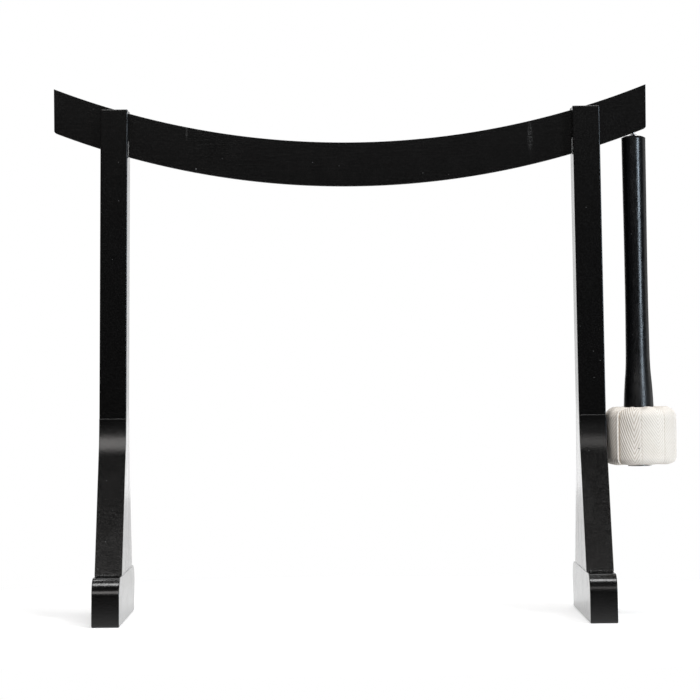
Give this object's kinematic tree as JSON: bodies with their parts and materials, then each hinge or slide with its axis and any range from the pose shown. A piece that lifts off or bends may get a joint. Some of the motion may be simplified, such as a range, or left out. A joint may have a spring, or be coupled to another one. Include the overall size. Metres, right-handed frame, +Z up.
{
  "type": "gong stand",
  "caption": "Freestanding black wooden gong stand: a curved crossbar notched into two forked legs on long feet, with a tape-headed mallet hanging on a hook at one end.",
  "frame": {"origin": "on the floor, under the centre of the bounding box of the stand with its mallet", "axes": "+X along the crossbar to the right as seen from the front, where the mallet hangs; +Y to the back; +Z up"},
  "size_m": [0.5754, 0.203, 0.4925],
  "materials": {
    "black_lacquer": "satin black lacquer over close-grained wood",
    "bare_beech": "bare beech dowel",
    "zinc_steel": "zinc plated",
    "bright_steel": "bright nickel plate",
    "black_handle": "satin black lacquer on turned wood",
    "felt": "dense felt",
    "cotton_tape": "undyed cotton herringbone tape"
  },
  "bodies": {
    "left_leg": {"left_post": "black_lacquer", "left_foot": "black_lacquer", "left_front_flare": "black_lacquer", "left_back_flare": "black_lacquer", "left_front_dowel": "bare_beech", "left_back_dowel": "bare_beech", "left_front_flare_screw": "zinc_steel", "left_back_flare_screw": "zinc_steel"},
    "crossbar": {"crossbar": "black_lacquer", "mallet_hook": "bright_steel"},
    "right_leg": {"right_post": "black_lacquer", "right_foot": "black_lacquer", "right_front_flare": "black_lacquer", "right_back_flare": "black_lacquer", "right_front_dowel": "bare_beech", "right_back_dowel": "bare_beech", "right_front_flare_screw": "zinc_steel", "right_back_flare_screw": "zinc_steel"},
    "mallet": {"mallet_screw_eye": "bright_steel", "mallet_handle": "black_handle", "mallet_core": "felt", "mallet_tape_cover": "cotton_tape", "mallet_washer": "zinc_steel", "mallet_end_screw": "zinc_steel"}
  },
  "joints": [
    {"name": "crossbar_lift", "type": "slide", "parent": "left_leg", "child": "crossbar", "axis": [0, 0, 1], "range_m": [0, 0.06]},
    {"name": "right_leg_drop", "type": "slide", "parent": "crossbar", "child": "right_leg", "axis": [0, 0, -1], "range_m": [0, 0.06]},
    {"name": "mallet_swing", "type": "hinge", "parent": "crossbar", "child": "mallet", "pos_m": [0.25043, -0.002, 0.44399], "axis": [0, -1, 0], "range_deg": [0, 38]}
  ],
  "couplings": [
    {"joint": "right_leg_drop", "follows": "crossbar_lift", "ratio": 1}
  ]
}
